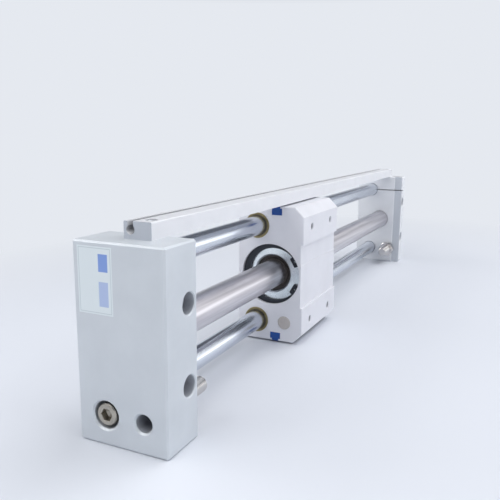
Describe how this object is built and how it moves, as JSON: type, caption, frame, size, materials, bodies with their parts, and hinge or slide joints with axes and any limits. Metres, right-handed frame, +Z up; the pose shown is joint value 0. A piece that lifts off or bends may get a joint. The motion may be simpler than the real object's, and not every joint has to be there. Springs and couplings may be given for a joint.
{
  "type": "magnetic rodless cylinder",
  "caption": "Slide block on twin guide rods between two end plates, pulled along by magnets from a piston in a sealed tube, with stop screws and a switch rail.",
  "frame": {"origin": "middle of the underside, with the cylinder standing on its narrow side as in the picture", "axes": "+X along the stroke from the port plate to the clamp plate, -Y out of the load face, +Z up"},
  "size_m": [0.45, 0.045, 0.0955],
  "materials": {
    "plate_anodised": "natural anodised, satin, fine machining marks",
    "block_anodised": "natural anodised, satin",
    "rail_anodised": "natural anodised extrusion, satin",
    "tube_stainless": "ground stainless, warm grey",
    "rod_chrome": "hard chrome, ground",
    "bush_bronze": "oiled bronze, dark",
    "washer_zinc": "bright zinc with a blue cast",
    "ring_black": "phosphated spring steel",
    "screw_black": "black oxide",
    "screw_zinc": "bright zinc plate",
    "stop_steel": "nickel-plated steel, worn bright",
    "pad_urethane": "grey urethane, matt",
    "holder_blue": "moulded blue resin",
    "magnet_nickel": "nickel-plated magnet",
    "yoke_steel": "turned steel",
    "piston_aluminium": "turned aluminium",
    "wear_ring_resin": "filled resin",
    "seal_rubber": "nitrile rubber"
  },
  "bodies": {
    "frame": {"port_end_plate": "plate_anodised", "clamp_end_plate": "plate_anodised", "cylinder_tube": "tube_stainless", "port_tube_seal": "seal_rubber", "clamp_tube_seal": "seal_rubber", "upper_guide_rod": "rod_chrome", "lower_guide_rod": "rod_chrome", "port_rod_screw": "screw_black", "clamp_rod_screw": "screw_black", "rod_clamp_screw": "screw_black", "switch_rail": "rail_anodised", "port_rail_screw": "screw_zinc", "clamp_rail_screw": "screw_zinc", "port_lock_nut": "stop_steel", "clamp_lock_nut": "stop_steel"},
    "carriage": {"slide_block": "block_anodised", "upper_port_bush": "bush_bronze", "lower_port_bush": "bush_bronze", "upper_clamp_bush": "bush_bronze", "lower_clamp_bush": "bush_bronze", "port_stop_pad": "pad_urethane", "clamp_stop_pad": "pad_urethane", "upper_magnet_holder": "holder_blue", "lower_magnet_holder": "holder_blue", "upper_switch_magnet": "magnet_nickel", "lower_switch_magnet": "magnet_nickel", "magnet_sleeve": "yoke_steel", "outer_yokes": "yoke_steel", "outer_magnets": "magnet_nickel", "port_wiper": "seal_rubber", "port_end_washer": "washer_zinc", "port_retaining_ring": "ring_black", "port_seal_carrier": "piston_aluminium", "port_wear_ring": "wear_ring_resin", "clamp_wiper": "seal_rubber", "clamp_end_washer": "washer_zinc", "clamp_retaining_ring": "ring_black", "clamp_seal_carrier": "piston_aluminium", "clamp_wear_ring": "wear_ring_resin"},
    "piston": {"piston_shaft": "yoke_steel", "inner_yokes": "yoke_steel", "inner_magnets": "magnet_nickel", "port_piston": "piston_aluminium", "port_piston_seal": "seal_rubber", "port_piston_ring": "wear_ring_resin", "port_shaft_nut": "yoke_steel", "port_bumper": "seal_rubber", "clamp_piston": "piston_aluminium", "clamp_piston_seal": "seal_rubber", "clamp_piston_ring": "wear_ring_resin", "clamp_shaft_nut": "yoke_steel", "clamp_bumper": "seal_rubber"},
    "port_stop": {"port_stop_screw": "stop_steel"},
    "clamp_stop": {"clamp_stop_screw": "stop_steel"}
  },
  "joints": [
    {"name": "carriage_slide", "type": "slide", "parent": "frame", "child": "carriage", "axis": [1, 0, 0], "range_m": [-0.1039, 0.1957]},
    {"name": "piston_slide", "type": "slide", "parent": "frame", "child": "piston", "axis": [1, 0, 0], "range_m": [-0.1039, 0.1957]},
    {"name": "port_stop_adjust", "type": "slide", "parent": "frame", "child": "port_stop", "axis": [1, 0, 0], "range_m": [-0.012, 0]},
    {"name": "clamp_stop_adjust", "type": "slide", "parent": "frame", "child": "clamp_stop", "axis": [1, 0, 0], "range_m": [0, 0.012]}
  ],
  "couplings": [
    {"joint": "piston_slide", "follows": "carriage_slide", "ratio": 1}
  ]
}
